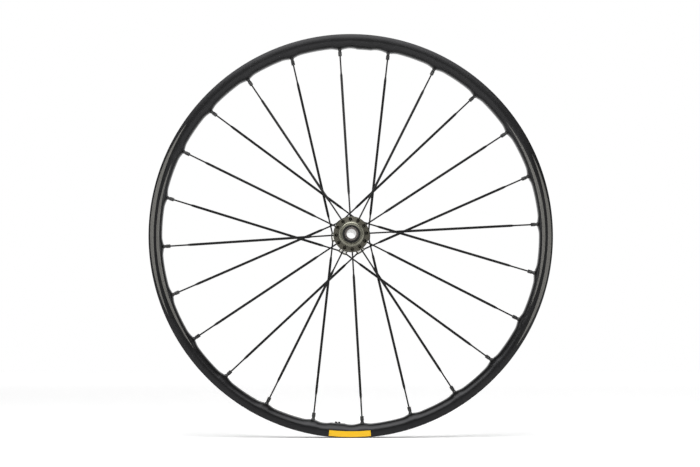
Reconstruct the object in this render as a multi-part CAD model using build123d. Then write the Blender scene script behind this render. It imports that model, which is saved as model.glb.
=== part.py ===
from build123d import *
import os
from math import acos, asin, atan, cos, degrees, radians, sin, tan

# Front mountain-bike wheel for a disc brake: a hollow rim, straight-pull bladed spokes and a hub
# on two sealed ball bearings. Lengths are millimetres and angles are degrees from +X towards +Z.
# The origin is the centre of the wheel, the axle lies along Y and Z is up.
# The plain side, with radial spokes, is -Y. The disc side, with crossed spokes, is +Y.

# Rim section
BEAD_SEAT_D = 622.0
RIM_EDGE_H = 6.0  # rim edge above the bead seat
RIM_DEPTH = 22.0  # rim edge to spoke bed
RIM_W = 30.0  # at its widest
RIM_EDGE_W = 28.0  # over its edges
RIM_EDGE_T = 1.5  # thickness of each upright edge
RIM_EDGE_CHAMFER = 0.6
BEAD_SEAT_W = 4.0
WELL_DEPTH = 4.7  # well below the bead seat
WELL_SLOPE_W = 2.0  # axial run of the well's sloping wall
SIDE_H = 8.5  # straight part of the side, from the rim edge to the widest place
BED_W = 12.0
BED_T = 2.7
RIM_WALL_T = 1.0

# Rim milling between the spokes
MILL_DEPTH = 1.5
MILL_CUTTER_R = 34.0
PAD_LENGTH = 10.3  # flat left full height at each nipple

# Valve hole and its slotted bush
VALVE_HOLE_D = 8.5
VALVE_BORE_D = 6.5
BUSH_FLANGE_D = 11.5
BUSH_FLANGE_T = 0.8
BUSH_REACH = 2.1  # how far the bush stands out of the spoke bed
BUSH_SLOT_W = 1.8
BUSH_SLOT_DEPTH = 1.4

# Spokes
SPOKES_PER_SIDE = 12
FIRST_SPOKE_ANGLE = 3.45
SPOKE_D = 2.3
BLADE_W = 3.3
BLADE_T = 1.2
BLADE_TAPER = 7.0
ROUND_AT_HUB = 34.0  # round length between the head and the blade's taper
ROUND_AT_RIM = 37.0  # round length between the spoke bed and the blade's taper
SPOKE_HEAD_D = 4.4
SPOKE_HEAD_L = 2.0
THREAD_REACH = 2.6  # spoke end past the spoke bed, inside the nipple

# Nipples
NIPPLE_THREAD_D = 7.0
NIPPLE_COLLAR_L = 0.8  # thread left showing under the spoke bed
NIPPLE_THREAD_OVER = 1.2  # thread past the inner face of the bed
NIPPLE_FLARE_L = 1.8  # from the collar down to the neck
NIPPLE_NECK_D = 4.3
NIPPLE_NECK_L = 1.6
NIPPLE_HEAD_D = 5.6
NIPPLE_HEAD_L = 7.0
NIPPLE_CHAMFER = 0.8
SPLINES = 10
SPLINE_DEPTH = 0.3
SPLINE_CUTTER_D = 1.0
SPLINE_END_L = 0.9  # plain ring left at each end of the splines

# Hub shell
HUB_W = 110.0  # over the end caps
SHELL_END_GAP = 7.8  # end cap face to the shell's end
RIGHT_FLANGE_Y = 36.0
RIGHT_FLANGE_D = 56.0
RIGHT_FLANGE_T = 7.0
FLANGE_CHAMFER = 0.8
NOSE_D = 40.0
NOSE_ROUND = 3.6  # round of the nose's outer edge
NOSE_DISH = 0.3  # how far the nose's face falls towards its mouth
POCKET_D = 5.6
POCKET_CIRCLE_D = 46.6
POCKET_DEPTH = 6.4
RIGHT_SEAT_R = 26.6  # narrow end of the head's seat
BARREL_D = 30.0
FLANGE_FLARE_L = 6.0  # axial run of the cones between barrel and flanges
LOBE_REACH_R = 31.0
LOBE_W = 13.6
LOBE_ROOT_R = 22.0
LEFT_TANGENT_R = 27.3  # distance from the axle to a crossed spoke's line
LEFT_ROW_Y = (24.5, 29.5)  # leading row, trailing row
LOBE_SIDE_WALL = 1.3  # metal beside a spoke head's counterbore
SEAT_IN_LOBE = 2.5  # narrow end of the head's seat inside the lobe's flank
DISC_FACE_INSET = 10.5  # end cap face to the disc's seat
DISC_MOUNT_T = 7.0
DISC_BOLT_CIRCLE_D = 44.0
DISC_BOLTS = 6
DISC_TAP_D = 4.2
DISC_LUG_R = 5.2
DISC_NECK_D = 36.0
DISC_SPIGOT_D = 34.8
BEARING_SHOULDER_H = 1.1  # step that each bearing is pressed up to

# Axle, bearings, caps and seals
AXLE_BORE_D = 15.1
AXLE_D = 17.0
CAP_FACE_L = 5.0  # end cap face to the end of the axle tube
CAP_D = 21.0
CAP_CHAMFER = 0.6
CAP_NOSE_L = 0.9  # the cap's step that meets the inner race
RACE_STOP_INSET = 0.2  # how far the shoulder and the cap's step stay inside the inner race's edge
BEARING_OD = 26.0
BEARING_W = 5.0
BEARING_RECESS = 0.8  # shell end to the bearing's face
RACE_SPACE = 1.8  # between the two races, beside the balls
BALL_D = 2.3
BALLS = 11
CAGE_W = 3.4
SEAL_T = 0.5
DUST_SEAL_T = 0.4
DUST_SEAL_LEDGE = 1.0  # how far the dust seal reaches past the bearing

# Clearances
RUN_GAP = 0.05  # round running fits
SLIP_GAP = 0.02  # parts that are screwed or slid together
SPOKE_HOLE_GAP = 0.1  # radial room round a spoke in the hub
BALL_GAP = 0.1  # radial room of a ball in its groove
CAGE_GAP = 0.15  # room between the ball cage and each race

# Worked out from the above
SEAT_R = BEAD_SEAT_D / 2
RIM_R = SEAT_R + RIM_EDGE_H
BED_R = RIM_R - RIM_DEPTH
SIDE_R = RIM_R - SIDE_H
WELL_R = SEAT_R - WELL_DEPTH
MILL_R = BED_R + MILL_DEPTH
SPOKE_PITCH = 180 / SPOKES_PER_SIDE
LOBES = SPOKES_PER_SIDE // 2
VALVE_INDEX = 17  # the gap between two nipples that holds the valve, counted from the first
VALVE_ANGLE = FIRST_SPOKE_ANGLE + (VALVE_INDEX + 0.5) * SPOKE_PITCH
JOINT_INDEX = (VALVE_INDEX + SPOKES_PER_SIDE) % (2 * SPOKES_PER_SIDE)
SHELL_END_Y = HUB_W / 2 - SHELL_END_GAP
DISC_FACE_Y = HUB_W / 2 - DISC_FACE_INSET
BEARING_Y = SHELL_END_Y - BEARING_RECESS - BEARING_W / 2
BEARING_OUT_Y = BEARING_Y + BEARING_W / 2
BEARING_IN_Y = BEARING_Y - BEARING_W / 2
AXLE_END_Y = HUB_W / 2 - CAP_FACE_L
SHELL_BORE_D = BEARING_OD - 2 * BEARING_SHOULDER_H
DUST_SEAL_D = BEARING_OD + 2 * DUST_SEAL_LEDGE
PITCH_R = (AXLE_D + BEARING_OD) / 4
INNER_LAND_R = PITCH_R - RACE_SPACE / 2
OUTER_LAND_R = PITCH_R + RACE_SPACE / 2
RACE_STOP_R = INNER_LAND_R - RACE_STOP_INSET
GROOVE_R = BALL_D / 2 + BALL_GAP
CAGE_T = RACE_SPACE - 2 * CAGE_GAP
SPOKE_HOLE_R = SPOKE_D / 2 + SPOKE_HOLE_GAP
HEAD_SLOPE = (SPOKE_HEAD_D - SPOKE_D) / 2 / SPOKE_HEAD_L


def around(radius, angle, y=0.0):
    """A point at a radius and an angle round the axle."""
    return Vector(radius * cos(radians(angle)), y, radius * sin(radians(angle)))


def turned(points):
    """A solid turned about the axle from its (radius, y) outline."""
    return revolve(make_face(Polyline(*points, close=True)), axis=Axis.Y)


def ring(inner_r, outer_r, y_low, y_high):
    """A plain ring about the axle."""
    return turned([(inner_r, y_low), (outer_r, y_low), (outer_r, y_high), (inner_r, y_high)])


def outline_prism(sketch, y_low, y_high):
    """An outline in the wheel's plane, drawn as (x, z), given a width along Y."""
    return extrude(Plane((0, y_low, 0), x_dir=(1, 0, 0), z_dir=(0, 1, 0)) * sketch, y_high - y_low)


# On a plane that looks along +Y the sketch's second axis points down, so outlines are mirrored.
def wheel_plane_point(radius, angle):
    """A point of an outline in the wheel's plane."""
    return (radius * cos(radians(angle)), -radius * sin(radians(angle)))


class SpokeLine:
    """The straight line of one spoke, from its seat in the hub to the spoke bed."""

    def __init__(self, seat, rim_angle):
        self.seat = seat
        self.end = around(BED_R, rim_angle)
        self.length = (self.end - seat).length
        along = (self.end - seat).normalized()
        across = Vector(0, 1, 0).cross(along).normalized()
        self.plane = Plane(seat, x_dir=across, z_dir=along)

    def turned(self, points):
        """A solid turned about the line from its (radius, distance from the seat) outline."""
        flat = Plane.XZ * make_face(Polyline(*points, close=True))
        return self.plane * revolve(flat, axis=Axis.Z)


def right_spoke_lines():
    """The radial spokes of the plain side, one to every second nipple."""
    lines = []
    for index in range(SPOKES_PER_SIDE):
        angle = FIRST_SPOKE_ANGLE + 2 * index * SPOKE_PITCH
        lines.append(SpokeLine(around(RIGHT_SEAT_R, angle, -RIGHT_FLANGE_Y), angle))
    return lines


def left_spoke_lines():
    """The crossed spokes of the disc side: each lobe sends one spoke forwards and one back."""
    swing = degrees(acos(LEFT_TANGENT_R / BED_R))
    # A lobe stands over a radial spoke, so its own two nipples lie an odd count of pitches away.
    reach = (2 * round((swing / SPOKE_PITCH - 1) / 2) + 1) * SPOKE_PITCH
    lean = swing - reach
    lines = []
    for index in range(LOBES):
        lobe_angle = FIRST_SPOKE_ANGLE + 4 * index * SPOKE_PITCH
        for sense, row_y in zip((1, -1), LEFT_ROW_Y):
            foot_angle = lobe_angle - sense * lean
            foot = around(LEFT_TANGENT_R, foot_angle, row_y)
            to_flank = LEFT_TANGENT_R * tan(radians(lean)) - LOBE_W / 2 / cos(radians(lean))
            forward = around(1, foot_angle + sense * 90)
            seat = foot + forward * (to_flank + SEAT_IN_LOBE)
            lines.append(SpokeLine(seat, lobe_angle + sense * reach))
    return lines


RIGHT_LINES = right_spoke_lines()
LEFT_LINES = left_spoke_lines()


def rim_section():
    """The hoop's cross-section as (radius, y): tyre well, hollow chamber and spoke bed."""
    side_y = RIM_W / 2
    edge_y = RIM_EDGE_W / 2
    wall_y = edge_y - RIM_EDGE_T
    seat_y = wall_y - BEAD_SEAT_W
    well_y = seat_y - WELL_SLOPE_W
    side = Polyline(
        (SIDE_R, side_y),
        (RIM_R - RIM_EDGE_CHAMFER, edge_y),
        (RIM_R, edge_y - RIM_EDGE_CHAMFER),
        (RIM_R, wall_y + RIM_EDGE_CHAMFER),
        (RIM_R - RIM_EDGE_CHAMFER, wall_y),
        (SEAT_R, wall_y),
        (SEAT_R, seat_y),
        (WELL_R, well_y),
    )
    # From its widest place the side curves in to the bed on one arc.
    drop = SIDE_R - BED_R
    inset = side_y - BED_W / 2
    round_r = (drop**2 + inset**2) / (2 * inset)
    round_y = side_y - round_r
    turn = asin(drop / round_r) if inset < round_r else radians(180) - asin(drop / round_r)
    middle = (SIDE_R - round_r * sin(turn / 2), round_y + round_r * cos(turn / 2))
    side += ThreePointArc((BED_R, BED_W / 2), middle, (SIDE_R, side_y))
    bed = Line((BED_R, -BED_W / 2), (BED_R, BED_W / 2))
    well = Line((WELL_R, -well_y), (WELL_R, well_y))
    hoop = make_face(bed + well + side + mirror(side, about=Plane.XZ))

    slope = atan(WELL_SLOPE_W / WELL_DEPTH)
    shift = RIM_WALL_T * (1 / cos(slope) - tan(slope))
    inner_r = round_r - RIM_WALL_T
    floor_r = BED_R + BED_T
    floor_turn = asin((SIDE_R - floor_r) / inner_r)
    inner_middle = (
        SIDE_R - inner_r * sin(floor_turn / 2),
        round_y + inner_r * cos(floor_turn / 2),
    )
    inner_corner = (floor_r, round_y + inner_r * cos(floor_turn))
    wall = ThreePointArc(inner_corner, inner_middle, (SIDE_R, side_y - RIM_WALL_T))
    wall += Polyline(
        (SIDE_R, side_y - RIM_WALL_T),
        (SEAT_R - RIM_WALL_T, edge_y - RIM_WALL_T),
        (SEAT_R - RIM_WALL_T, seat_y + shift),
        (WELL_R - RIM_WALL_T, well_y + shift),
    )
    floor = Line((floor_r, -inner_corner[1]), inner_corner)
    roof = Line((WELL_R - RIM_WALL_T, -well_y - shift), (WELL_R - RIM_WALL_T, well_y + shift))
    return hoop - make_face(floor + roof + wall + mirror(wall, about=Plane.XZ))


def milling_cut(gap):
    """What the cutter takes off the bed between two nipples, leaving the valve and joint plain."""
    cutter_path_r = MILL_R - MILL_CUTTER_R
    ramp = (cutter_path_r**2 + BED_R**2 - MILL_CUTTER_R**2) / (2 * cutter_path_r * BED_R)
    inset = degrees(PAD_LENGTH / 2 / BED_R + acos(ramp))
    start = FIRST_SPOKE_ANGLE + gap * SPOKE_PITCH + inset
    stop = FIRST_SPOKE_ANGLE + (gap + 1) * SPOKE_PITCH - inset
    cutter = Circle(MILL_CUTTER_R)
    cut = Sketch() + [Pos(*wheel_plane_point(cutter_path_r, angle)) * cutter for angle in (start, stop)]
    if gap not in (VALVE_INDEX, JOINT_INDEX):
        middle = (start + stop) / 2
        arc = ThreePointArc(*[wheel_plane_point(MILL_R, angle) for angle in (start, middle, stop)])
        back = Polyline(arc @ 1, *[wheel_plane_point(cutter_path_r, a) for a in (stop, start)], arc @ 0)
        cut += make_face(arc + back)
    return outline_prism(cut, -RIM_W, RIM_W)


def make_rim():
    rim = revolve(rim_section(), axis=Axis.Y)
    cuts = [milling_cut(gap) for gap in range(2 * SPOKES_PER_SIDE)]
    hole_r = NIPPLE_THREAD_D / 2 + SLIP_GAP
    for line in RIGHT_LINES + LEFT_LINES:
        low = line.length - NIPPLE_COLLAR_L - NIPPLE_FLARE_L
        high = line.length + BED_T + NIPPLE_THREAD_OVER
        cuts.append(line.turned([(0, low), (hole_r, low), (hole_r, high), (0, high)]))
    valve = Plane(around(BED_R - BED_T, VALVE_ANGLE), x_dir=(0, 1, 0), z_dir=around(1, VALVE_ANGLE))
    drill = Cylinder(VALVE_HOLE_D / 2, SEAT_R - BED_R, align=(Align.CENTER, Align.CENTER, Align.MIN))
    cuts.append(valve * drill)
    return rim - cuts


def make_valve_hole_bush():
    """A sleeve let in from the tyre side, its flange on the well's floor and its inner end slotted."""
    length = WELL_R - BED_R + BUSH_REACH
    upright = (Align.CENTER, Align.CENTER, Align.MIN)
    sleeve = Cylinder(VALVE_HOLE_D / 2 - SLIP_GAP, length, align=upright)
    sleeve += Pos(0, 0, length) * Cylinder(BUSH_FLANGE_D / 2, BUSH_FLANGE_T, align=upright)
    sleeve -= Cylinder(VALVE_BORE_D / 2, length + BUSH_FLANGE_T, align=upright)
    sleeve -= Box(VALVE_HOLE_D, BUSH_SLOT_W, 2 * BUSH_SLOT_DEPTH)
    base = around(BED_R - BUSH_REACH, VALVE_ANGLE)
    return Plane(base, x_dir=(0, 1, 0), z_dir=around(1, VALVE_ANGLE)) * sleeve


def make_spoke(line):
    """A round wire with a cone head, swelled and then pressed flat along its middle."""
    wire_r = SPOKE_D / 2
    blade_start = ROUND_AT_HUB + BLADE_TAPER
    blade_stop = line.length - ROUND_AT_RIM - BLADE_TAPER
    end = line.length + THREAD_REACH
    wire = line.turned(
        [
            (0, -SPOKE_HEAD_L),
            (SPOKE_HEAD_D / 2, -SPOKE_HEAD_L),
            (wire_r, 0),
            (wire_r, ROUND_AT_HUB),
            (BLADE_W / 2, blade_start),
            (BLADE_W / 2, blade_stop),
            (wire_r, blade_stop + BLADE_TAPER),
            (wire_r, end),
            (0, end),
        ]
    )
    side = make_face(
        Polyline(
            (wire_r, ROUND_AT_HUB),
            (BLADE_T / 2, blade_start),
            (BLADE_T / 2, blade_stop),
            (wire_r, blade_stop + BLADE_TAPER),
            (BLADE_W, blade_stop + BLADE_TAPER),
            (BLADE_W, ROUND_AT_HUB),
            close=True,
        )
    )
    press = extrude(Plane.YZ * side, BLADE_W, both=True)
    return wire - [line.plane * press, line.plane * mirror(press, about=Plane.XZ)]


def make_nipple():
    """A threaded nipple, drawn with the spoke bed at z = 0 and its splined head towards -Z."""
    top = BED_T + NIPPLE_THREAD_OVER
    neck_top = -NIPPLE_COLLAR_L - NIPPLE_FLARE_L
    neck_bottom = neck_top - NIPPLE_NECK_L
    bottom = neck_bottom - NIPPLE_HEAD_L
    bore_r = SPOKE_D / 2 + SLIP_GAP
    head_r = NIPPLE_HEAD_D / 2
    profile = Polyline(
        (bore_r, top),
        (NIPPLE_THREAD_D / 2, top),
        (NIPPLE_THREAD_D / 2, -NIPPLE_COLLAR_L),
        (NIPPLE_NECK_D / 2, neck_top),
        (NIPPLE_NECK_D / 2, neck_bottom),
        (head_r, neck_bottom - (NIPPLE_HEAD_D - NIPPLE_NECK_D) / 2),
        (head_r, bottom + NIPPLE_CHAMFER),
        (head_r - NIPPLE_CHAMFER, bottom),
        (bore_r, bottom),
        close=True,
    )
    nipple = revolve(Plane.XZ * make_face(profile), axis=Axis.Z)
    spline_low = bottom + NIPPLE_CHAMFER + SPLINE_END_L
    spline_high = neck_bottom - (NIPPLE_HEAD_D - NIPPLE_NECK_D) / 2 - SPLINE_END_L
    groove_r = head_r - SPLINE_DEPTH + SPLINE_CUTTER_D / 2
    grooves = Sketch() + PolarLocations(groove_r, SPLINES) * Circle(SPLINE_CUTTER_D / 2)
    return nipple - Pos(0, 0, spline_low) * extrude(grooves, spline_high - spline_low)


def place_nipple(nipple, line):
    """A copy of the nipple, moved to the end of a spoke's line."""
    return line.plane * (Pos(0, 0, line.length) * nipple)


def head_seat(line, behind, ahead):
    """The cone that a spoke's head pulls into, its counterbore behind and its hole ahead."""
    head_r = SPOKE_HEAD_D / 2 + SLIP_GAP
    throat = (SPOKE_HOLE_GAP - SLIP_GAP) / HEAD_SLOPE
    back = -SPOKE_HEAD_L - behind
    return line.turned(
        [
            (0, back),
            (head_r, back),
            (head_r, -SPOKE_HEAD_L),
            (SPOKE_HOLE_R, -throat),
            (SPOKE_HOLE_R, ahead),
            (0, ahead),
        ]
    )


def shell_body():
    """The turned blank of the hub shell, with a seat for each bearing."""
    flange_out = -RIGHT_FLANGE_Y - RIGHT_FLANGE_T / 2
    flange_in = flange_out + RIGHT_FLANGE_T
    flange_r = RIGHT_FLANGE_D / 2
    head_room = SPOKE_HEAD_D / 2 + SLIP_GAP + LOBE_SIDE_WALL
    lobe_low = min(LEFT_ROW_Y) - head_room
    lobe_high = max(LEFT_ROW_Y) + head_room
    mount_low = DISC_FACE_Y - DISC_MOUNT_T
    barrel_r = BARREL_D / 2
    nose_r = NOSE_D / 2
    bow = NOSE_ROUND * (1 - cos(radians(45)))
    crest = (nose_r - NOSE_ROUND, -SHELL_END_Y)
    nose_side = (nose_r, -SHELL_END_Y + NOSE_ROUND)
    nose = ThreePointArc(crest, (nose_r - bow, -SHELL_END_Y + bow), nose_side)
    outside = [
        nose_side,
        (nose_r, flange_out),
        (flange_r - FLANGE_CHAMFER, flange_out),
        (flange_r, flange_out + FLANGE_CHAMFER),
        (flange_r, flange_in - FLANGE_CHAMFER),
        (flange_r - FLANGE_CHAMFER, flange_in),
        (nose_r, flange_in),
        (barrel_r, flange_in + FLANGE_FLARE_L),
        (barrel_r, lobe_low - FLANGE_FLARE_L),
        (LOBE_ROOT_R, lobe_low),
        (LOBE_ROOT_R, lobe_high),
        (DISC_NECK_D / 2, mount_low),
        (DISC_NECK_D / 2, DISC_FACE_Y),
        (DISC_SPIGOT_D / 2, DISC_FACE_Y),
        (DISC_SPIGOT_D / 2, SHELL_END_Y),
    ]
    seat = [
        (DUST_SEAL_D / 2, BEARING_OUT_Y),
        (BEARING_OD / 2, BEARING_OUT_Y),
        (BEARING_OD / 2, BEARING_IN_Y),
        (SHELL_BORE_D / 2, BEARING_IN_Y),
    ]
    inside = [(DUST_SEAL_D / 2, SHELL_END_Y)] + seat
    inside += [(radius, -y) for radius, y in reversed(seat)]
    inside += [(DUST_SEAL_D / 2, -SHELL_END_Y + NOSE_DISH), crest]
    blank = revolve(make_face(nose + Polyline(*outside, *inside)), axis=Axis.Y)
    lobe = Pos(LOBE_REACH_R / 2, 0) * Rectangle(LOBE_REACH_R, LOBE_W)
    star = Sketch()
    for index in range(LOBES):
        star += Rot(0, 0, -FIRST_SPOKE_ANGLE - 4 * index * SPOKE_PITCH) * lobe
    star = star & Circle(LOBE_REACH_R)
    lug = Pos(DISC_BOLT_CIRCLE_D / 2, 0) * Circle(DISC_LUG_R)
    lug += Pos(DISC_BOLT_CIRCLE_D / 4, 0) * Rectangle(DISC_BOLT_CIRCLE_D / 2, 2 * DISC_LUG_R)
    lugs = Sketch() + PolarLocations(0, DISC_BOLTS) * lug
    lobes = outline_prism(star, lobe_low, lobe_high)
    mount = outline_prism(lugs, mount_low, DISC_FACE_Y)
    bore = turned([(0, -SHELL_END_Y + NOSE_DISH), (0, SHELL_END_Y)] + inside[:-1])
    return blank + (lobes - bore) + (mount - bore)


def make_hub_shell():
    pocket = Cylinder(POCKET_D / 2, POCKET_DEPTH, align=(Align.CENTER, Align.CENTER, Align.MIN))
    face = Plane((0, -RIGHT_FLANGE_Y - RIGHT_FLANGE_T / 2, 0), x_dir=(1, 0, 0), z_dir=(0, 1, 0))
    to_pocket = RIGHT_SEAT_R - SPOKE_HEAD_L - POCKET_CIRCLE_D / 2
    cuts = []
    for index, line in enumerate(RIGHT_LINES):
        angle = FIRST_SPOKE_ANGLE + 2 * index * SPOKE_PITCH
        cuts.append(face * (Pos(*wheel_plane_point(POCKET_CIRCLE_D / 2, angle)) * pocket))
        cuts.append(head_seat(line, to_pocket, RIGHT_FLANGE_D / 2))
    for line in LEFT_LINES:
        cuts.append(head_seat(line, LOBE_W, LOBE_W + LOBE_REACH_R / 2))
    back = Plane((0, DISC_FACE_Y, 0), x_dir=(1, 0, 0), z_dir=(0, 1, 0))
    tap = back * Cylinder(DISC_TAP_D / 2, DISC_MOUNT_T, align=(Align.CENTER, Align.CENTER, Align.MAX))
    for index in range(DISC_BOLTS):
        spot = around(DISC_BOLT_CIRCLE_D / 2, 360 / DISC_BOLTS * index)
        cuts.append(Pos(*spot) * tap)
    return shell_body() - cuts


def make_axle():
    return turned(
        [
            (AXLE_BORE_D / 2, -AXLE_END_Y),
            (AXLE_D / 2, -AXLE_END_Y),
            (AXLE_D / 2, -BEARING_IN_Y),
            (RACE_STOP_R, -BEARING_IN_Y),
            (RACE_STOP_R, BEARING_IN_Y),
            (AXLE_D / 2, BEARING_IN_Y),
            (AXLE_D / 2, AXLE_END_Y),
            (AXLE_BORE_D / 2, AXLE_END_Y),
        ]
    )


def make_end_cap(side):
    """A cap slid over the axle's end, bearing on the inner race only."""
    nose_y = BEARING_OUT_Y + CAP_NOSE_L
    socket_r = AXLE_D / 2 + SLIP_GAP
    outline = [
        (AXLE_BORE_D / 2, HUB_W / 2),
        (CAP_D / 2 - CAP_CHAMFER, HUB_W / 2),
        (CAP_D / 2, HUB_W / 2 - CAP_CHAMFER),
        (CAP_D / 2, nose_y),
        (RACE_STOP_R, nose_y),
        (RACE_STOP_R, BEARING_OUT_Y),
        (socket_r, BEARING_OUT_Y),
        (socket_r, AXLE_END_Y),
        (AXLE_BORE_D / 2, AXLE_END_Y),
    ]
    return turned([(radius, side * y) for radius, y in outline])


def race(inner_r, outer_r, side):
    """A bearing race: a ring with a round groove for the balls."""
    band = Pos((inner_r + outer_r) / 2, 0) * Rectangle(outer_r - inner_r, BEARING_W)
    groove = Pos(PITCH_R, 0) * Circle(GROOVE_R)
    return Pos(0, side * BEARING_Y, 0) * revolve(band - groove, axis=Axis.Y)


def ball_places(side):
    return [around(PITCH_R, 360 / BALLS * index, side * BEARING_Y) for index in range(BALLS)]


def make_cage(side):
    y = side * BEARING_Y
    cage = ring(PITCH_R - CAGE_T / 2, PITCH_R + CAGE_T / 2, y - CAGE_W / 2, y + CAGE_W / 2)
    pockets = []
    for place in ball_places(side):
        outward = Vector(place.X, 0, place.Z)
        pockets.append(Plane(place, x_dir=(0, 1, 0), z_dir=outward) * Cylinder(GROOVE_R, 2 * CAGE_T))
    return cage - pockets


def make_balls(side):
    return Compound(children=[Pos(*place) * Sphere(BALL_D / 2) for place in ball_places(side)])


def make_bearing_seals(side):
    """The two rubber shields that close a bearing, held by its outer race."""
    inner_r = INNER_LAND_R + RUN_GAP
    near = BEARING_W / 2 - SEAL_T
    far = BEARING_W / 2
    y = side * BEARING_Y
    spans = ((near, far), (-far, -near))
    return Compound(children=[ring(inner_r, OUTER_LAND_R, y + low, y + high) for low, high in spans])


def make_dust_seal(side):
    """The lip seal in the shell's mouth, running on the end cap."""
    low = side * BEARING_OUT_Y
    high = side * (BEARING_OUT_Y + DUST_SEAL_T)
    return ring(CAP_D / 2 + RUN_GAP, DUST_SEAL_D / 2 - SLIP_GAP, min(low, high), max(low, high))


nipple = make_nipple()
nodes = {
    "rim": make_rim(),
    "valve_hole_bush": make_valve_hole_bush(),
    "spoke_nipples": Compound(children=[place_nipple(nipple, line) for line in RIGHT_LINES + LEFT_LINES]),
    "hub_shell": make_hub_shell(),
    "axle": make_axle(),
}
for number, line in enumerate(RIGHT_LINES, start=1):
    nodes[f"right_spoke_{number:02d}"] = make_spoke(line)
for number, line in enumerate(LEFT_LINES, start=1):
    nodes[f"left_spoke_{number:02d}"] = make_spoke(line)
for name, side in (("right", -1), ("left", 1)):
    nodes[f"{name}_end_cap"] = make_end_cap(side)
    nodes[f"{name}_dust_seal"] = make_dust_seal(side)
    nodes[f"{name}_bearing_outer_race"] = race(OUTER_LAND_R, BEARING_OD / 2, side)
    nodes[f"{name}_bearing_inner_race"] = race(AXLE_D / 2, INNER_LAND_R, side)
    nodes[f"{name}_bearing_cage"] = make_cage(side)
    nodes[f"{name}_bearing_balls"] = make_balls(side)
    nodes[f"{name}_bearing_seals"] = make_bearing_seals(side)

os.makedirs("parts", exist_ok=True)
for name, shape in nodes.items():
    export_step(shape, f"parts/{name}.step")
    print(name, round(shape.volume, 1))
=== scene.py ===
# %% [markdown]
# # A front bicycle wheel, dressed for its portrait
# The CAD model holds every piece at its real size: a hollow rim, bladed spokes, nipples, a hub
# shell, an axle and two sealed bearings. This lesson loads that model as a fixed frame, remakes
# the pieces whose fine form shows, gives every surface its finish, and lights the wheel like a
# catalogue photograph on white.

from math import acos, atan2, cos, degrees, hypot, pi, radians, sin, sqrt

import bmesh
import bpy
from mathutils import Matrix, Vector


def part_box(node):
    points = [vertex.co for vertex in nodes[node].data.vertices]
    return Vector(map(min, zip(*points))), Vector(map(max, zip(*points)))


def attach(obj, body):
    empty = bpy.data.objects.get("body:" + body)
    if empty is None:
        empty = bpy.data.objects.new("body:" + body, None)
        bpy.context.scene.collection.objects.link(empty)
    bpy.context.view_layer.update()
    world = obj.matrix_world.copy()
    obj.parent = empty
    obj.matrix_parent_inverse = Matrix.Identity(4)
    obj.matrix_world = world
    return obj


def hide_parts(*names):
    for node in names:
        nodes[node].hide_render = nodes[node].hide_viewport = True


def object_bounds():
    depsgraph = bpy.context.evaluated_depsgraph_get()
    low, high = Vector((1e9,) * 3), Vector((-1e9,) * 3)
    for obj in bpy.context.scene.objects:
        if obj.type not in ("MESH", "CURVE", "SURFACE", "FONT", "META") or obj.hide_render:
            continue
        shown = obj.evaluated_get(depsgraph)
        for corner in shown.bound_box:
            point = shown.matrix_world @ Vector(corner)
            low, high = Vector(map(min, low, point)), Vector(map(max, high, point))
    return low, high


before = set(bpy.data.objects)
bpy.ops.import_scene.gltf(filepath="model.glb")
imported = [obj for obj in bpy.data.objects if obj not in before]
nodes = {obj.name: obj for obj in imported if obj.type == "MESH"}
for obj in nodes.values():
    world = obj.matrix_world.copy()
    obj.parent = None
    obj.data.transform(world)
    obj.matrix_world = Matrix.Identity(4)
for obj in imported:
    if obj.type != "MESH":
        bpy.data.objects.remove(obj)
cad_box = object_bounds()
MM = 0.001
print("CAD nodes:", len(nodes), "box:", [list(corner) for corner in cad_box])

# %% [markdown]
# The wheel's own sizes can be typed in again or read from the frame. Reading them is safer: when
# the CAD changes, the dressed wheel follows. The rim gives the outer radius, the radius of the bed
# that the nipples sit in, and the width. Each spoke's node gives the straight line that it follows.

# %% Read sizes from the frame
AXLE_WAY = Vector((0, 1, 0))


def node_points(name):
    """The vertices of a CAD node."""
    return [vertex.co.copy() for vertex in nodes[name].data.vertices]


def axle_distance(point):
    """How far a point lies from the axle, which runs along Y."""
    return hypot(point.x, point.z)


def around(radius, angle, y=0.0):
    """A point at a radius and an angle in degrees, counted from +X towards +Z."""
    return Vector((radius * cos(radians(angle)), y, radius * sin(radians(angle))))


rim_points = node_points("rim")
RIM_R = max(axle_distance(point) for point in rim_points)
BED_R = min(axle_distance(point) for point in rim_points)
RIM_HALF_W = max(point.y for point in rim_points)
spoke_names = sorted(name for name in nodes if "_spoke_" in name)
print("rim radius", RIM_R, "bed radius", BED_R, "half width", RIM_HALF_W, "spokes", len(spoke_names))

# %% Read the spoke lines
END_DEPTH = 0.2 * MM


def spoke_line(name):
    """The middle of a spoke's head, its direction, how far along it the bed lies, and its length."""
    points = node_points(name)
    rough = max(points, key=axle_distance) - min(points, key=axle_distance)
    rough.normalize()
    ends = []
    for sense in (-1, 1):
        reach = max(sense * point.dot(rough) for point in points)
        ring = [point for point in points if sense * point.dot(rough) > reach - END_DEPTH]
        ends.append(sum(ring, Vector()) / len(ring))
    head, tip = ends
    along = (tip - head).normalized()
    # The line meets the bed where its distance from the axle equals the bed's radius.
    a = along.x**2 + along.z**2
    b = 2 * (head.x * along.x + head.z * along.z)
    c = head.x**2 + head.z**2 - BED_R**2
    to_bed = (-b + sqrt(b * b - 4 * a * c)) / (2 * a)
    return head, along, to_bed, (tip - head).length


spoke_lines = {name: spoke_line(name) for name in spoke_names}
nipple_angles = []
for head, along, to_bed, length in spoke_lines.values():
    spot = head + along * to_bed
    nipple_angles.append(degrees(atan2(spot.z, spot.x)) % 360)
nipple_angles.sort()
SPOKE_PITCH = 360 / len(nipple_angles)
print("first nipple at", round(nipple_angles[0], 2), "degrees, pitch", SPOKE_PITCH)

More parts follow.
